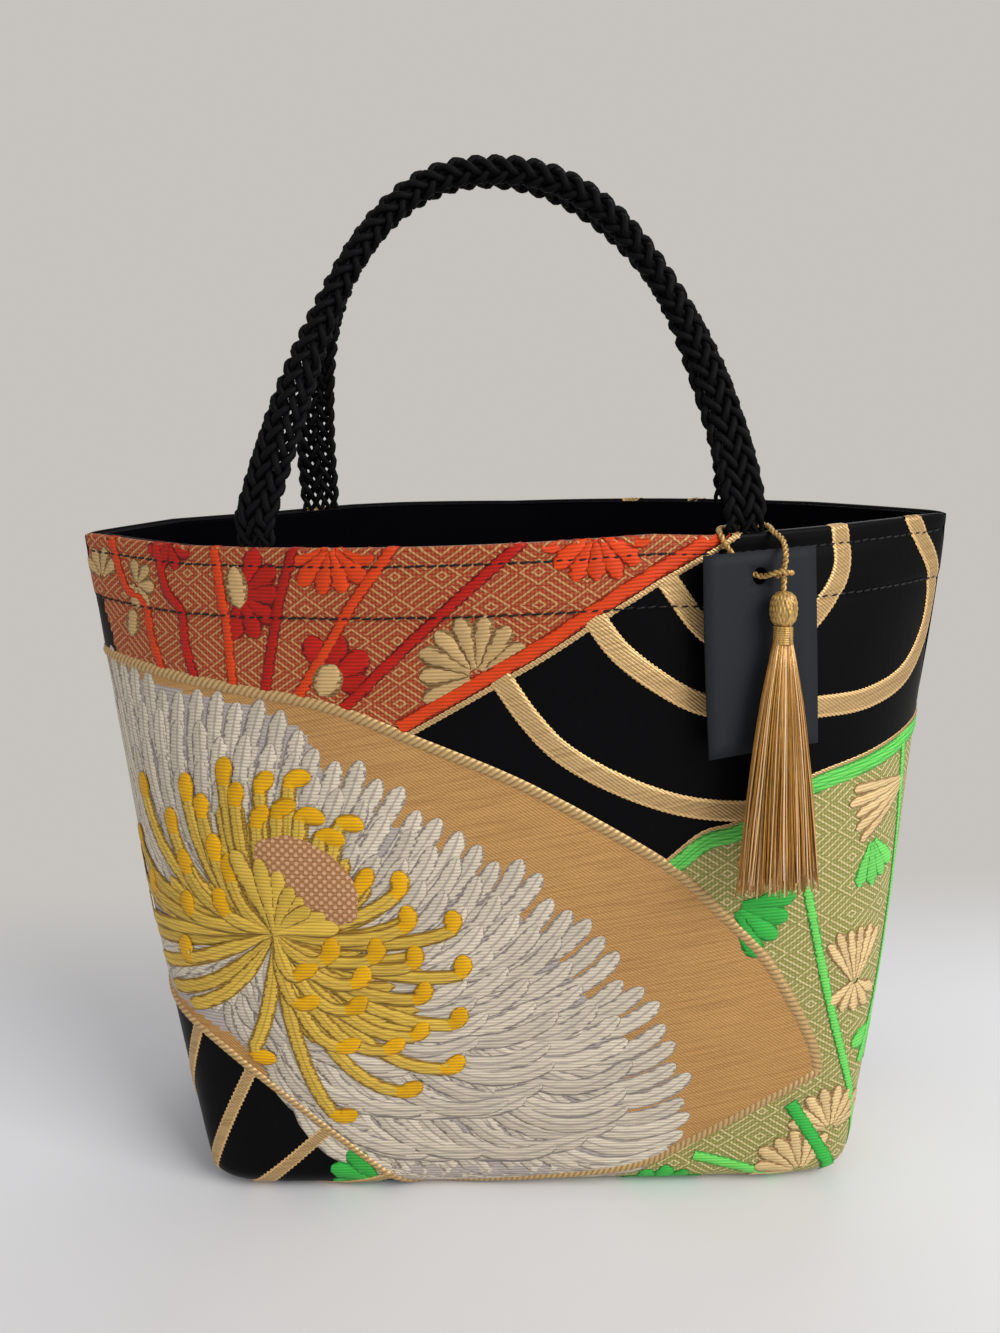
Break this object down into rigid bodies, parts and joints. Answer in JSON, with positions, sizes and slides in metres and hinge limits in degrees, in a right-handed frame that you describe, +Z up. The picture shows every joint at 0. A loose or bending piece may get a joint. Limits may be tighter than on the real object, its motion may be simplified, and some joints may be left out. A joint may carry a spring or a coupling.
{
  "type": "tote bag",
  "caption": "Small lined tote bag of patterned brocade with a lens-shaped open mouth, boxed base, braided cord handles, a thread tassel and a card swing tag.",
  "frame": {"origin": "centre of the bounding box on the ground, under the middle of the bag", "axes": "+Z up, +X along the rim to the right of the tassel side as seen from the front, front panel faces -Y"},
  "size_m": [0.2856, 0.1213, 0.335],
  "materials": {
    "brocade": "woven figured silk with gold weft, semi-lustrous",
    "interlining_canvas": "matte woven canvas",
    "satin_lining": "black satin, soft sheen",
    "base_board": "matte stiffener sheet",
    "stitch_thread": "twisted sewing thread",
    "braided_cord": "matte black open braid",
    "gold_thread": "lustrous gold-coloured twisted thread",
    "tag_card": "matte charcoal card"
  },
  "bodies": {
    "bag": {"front_panel": "brocade", "back_panel": "brocade", "front_interlining": "interlining_canvas", "back_interlining": "interlining_canvas", "front_lining": "satin_lining", "back_lining": "satin_lining", "base_board": "base_board", "front_upper_stitch": "stitch_thread", "front_lower_stitch": "stitch_thread", "back_upper_stitch": "stitch_thread", "back_lower_stitch": "stitch_thread", "front_handle_left_end": "braided_cord", "front_handle_right_end": "braided_cord", "back_handle_left_end": "braided_cord", "back_handle_right_end": "braided_cord", "tassel_cord_loop": "gold_thread"},
    "front_handle": {"front_handle": "braided_cord"},
    "back_handle": {"back_handle": "braided_cord"},
    "tassel_cord": {"tassel_cord_drop": "gold_thread"},
    "tassel": {"tassel_head": "gold_thread", "tassel_neck_binding": "gold_thread", "tassel_skirt": "gold_thread"},
    "tag": {"hang_tag": "tag_card"}
  },
  "joints": [
    {"name": "front_handle_swing", "type": "hinge", "parent": "bag", "child": "front_handle", "pos_m": [-0.0045, -0.03921, 0.23015], "axis": [0.9998, -0.022, 0], "range_deg": [0, 120]},
    {"name": "back_handle_swing", "type": "hinge", "parent": "bag", "child": "back_handle", "pos_m": [0.0045, 0.03921, 0.23015], "axis": [-0.9998, 0.022, 0], "range_deg": [0, 185]},
    {"name": "tassel_lift", "type": "hinge", "parent": "bag", "child": "tassel_cord", "pos_m": [0.07946, -0.04841, 0.21085], "axis": [-0.9447, -0.328, 0], "range_deg": [0, 50]},
    {"name": "tassel_sway", "type": "hinge", "parent": "tassel_cord", "child": "tassel", "pos_m": [0.07916, -0.04756, 0.20775], "axis": [0.328, -0.9447, 0], "range_deg": [-30, 30]},
    {"name": "tag_swing", "type": "hinge", "parent": "bag", "child": "tag", "pos_m": [0.07264, -0.0439, 0.21144], "axis": [0.3262, -0.9395, 0.1049], "range_deg": [-12, 12]}
  ]
}
